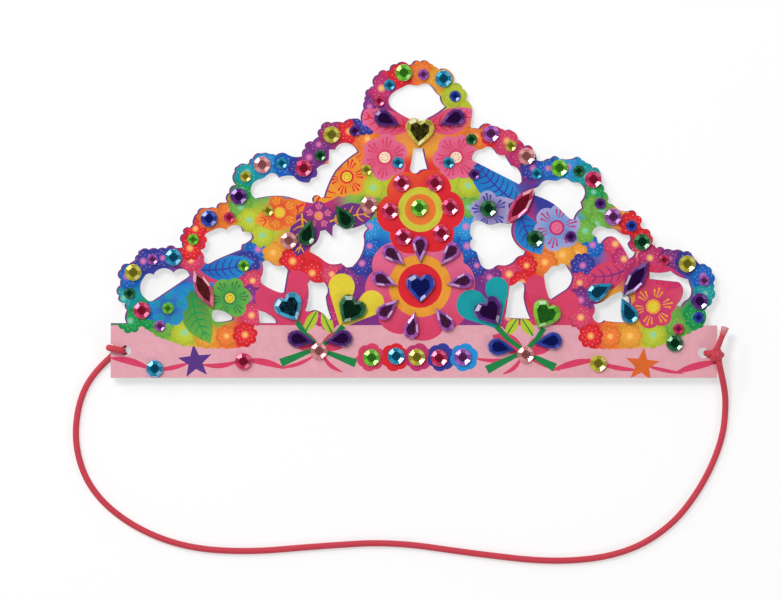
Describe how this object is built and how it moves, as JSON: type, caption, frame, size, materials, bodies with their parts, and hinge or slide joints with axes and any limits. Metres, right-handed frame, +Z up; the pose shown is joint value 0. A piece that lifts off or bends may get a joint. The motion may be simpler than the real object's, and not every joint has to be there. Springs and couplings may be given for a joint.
{
  "type": "paper crown",
  "caption": "Flat die-cut card crown with a straight band, a stepped openwork crest, faceted stick-on stones and an elastic head cord.",
  "frame": {"origin": "on the table under the middle of the sheet's outline", "axes": "+X along the band, +Y from the band to the crest, +Z up out of the printed face"},
  "size_m": [0.3035, 0.2331, 0.0125],
  "materials": {
    "printed_card": "matt print with a fine felted grain",
    "rose_elastic": "round braided elastic",
    "stone_aqua": "faceted, mirror-backed acrylic",
    "stone_blue": "faceted, mirror-backed acrylic",
    "stone_blush": "faceted, mirror-backed acrylic",
    "stone_gold": "faceted, mirror-backed acrylic",
    "stone_green": "faceted, mirror-backed acrylic",
    "stone_lilac": "faceted, mirror-backed acrylic",
    "stone_lime": "faceted, mirror-backed acrylic",
    "stone_pink": "faceted, mirror-backed acrylic",
    "stone_purple": "faceted, mirror-backed acrylic",
    "stone_red": "faceted, mirror-backed acrylic",
    "stone_turquoise": "faceted, mirror-backed acrylic",
    "stone_yellow": "faceted, mirror-backed acrylic"
  },
  "bodies": {
    "root": {"cord_left_tie": "rose_elastic", "cord_right_tie": "rose_elastic", "crown_sheet": "printed_card", "drop_blue": "stone_blue", "drop_green": "stone_green", "drop_lilac": "stone_lilac", "drop_purple_lower": "stone_purple", "drop_purple_upper": "stone_purple", "drop_turquoise": "stone_turquoise", "elastic_cord": "rose_elastic", "heart_aqua": "stone_aqua", "heart_blue": "stone_blue", "heart_gold": "stone_gold", "heart_green": "stone_green", "heart_lime": "stone_lime", "heart_purple": "stone_purple", "marquise_pink": "stone_pink", "marquise_purple": "stone_purple", "marquise_red": "stone_red", "round_large_blue": "stone_blue", "round_large_blush": "stone_blush", "round_large_green": "stone_green", "round_large_lilac": "stone_lilac", "round_large_lime": "stone_lime", "round_large_purple": "stone_purple", "round_large_red": "stone_red", "round_large_turquoise": "stone_turquoise", "round_large_yellow": "stone_yellow", "round_small_blue": "stone_blue", "round_small_green": "stone_green", "round_small_lilac": "stone_lilac", "round_small_lime": "stone_lime", "round_small_purple": "stone_purple", "round_small_red": "stone_red", "round_small_turquoise": "stone_turquoise", "round_small_yellow": "stone_yellow"}
  },
  "joints": []
}
